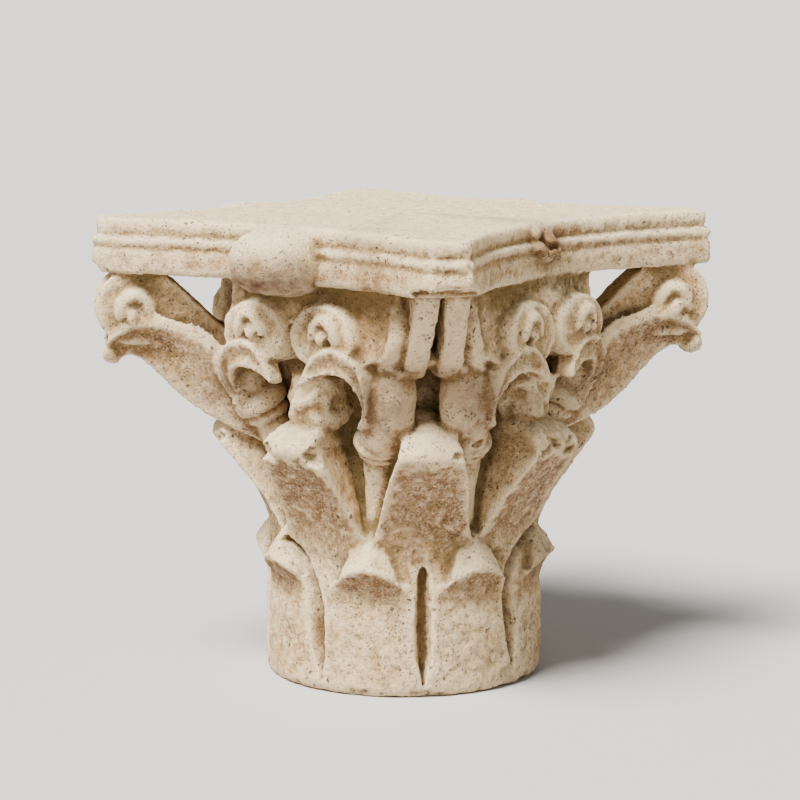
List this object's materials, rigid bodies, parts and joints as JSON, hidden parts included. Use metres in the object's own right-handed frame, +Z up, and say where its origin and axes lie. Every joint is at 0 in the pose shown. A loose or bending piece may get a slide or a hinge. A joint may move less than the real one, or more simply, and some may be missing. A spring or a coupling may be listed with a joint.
{
  "type": "corinthian capital",
  "caption": "Carved limestone column capital with two rows of smooth leaves, corner volutes, side helices and a hollow-sided abacus with bosses; one volute and one boss are broken off.",
  "frame": {"origin": "centre of the round underside, on the axis of the column", "axes": "+Z up along the column axis; the four sides of the abacus face +X, -X, +Y and -Y, and its corners lie on the diagonals; the broken volute is at the +X -Y corner and the broken boss on the +X side"},
  "size_m": [0.5565, 0.566, 0.538],
  "materials": {
    "limestone": "weathered cream limestone, pitted and grainy, with olive-grey dirt in the hollows and brown stains"
  },
  "bodies": {
    "root": {"capital": "limestone"}
  },
  "joints": []
}
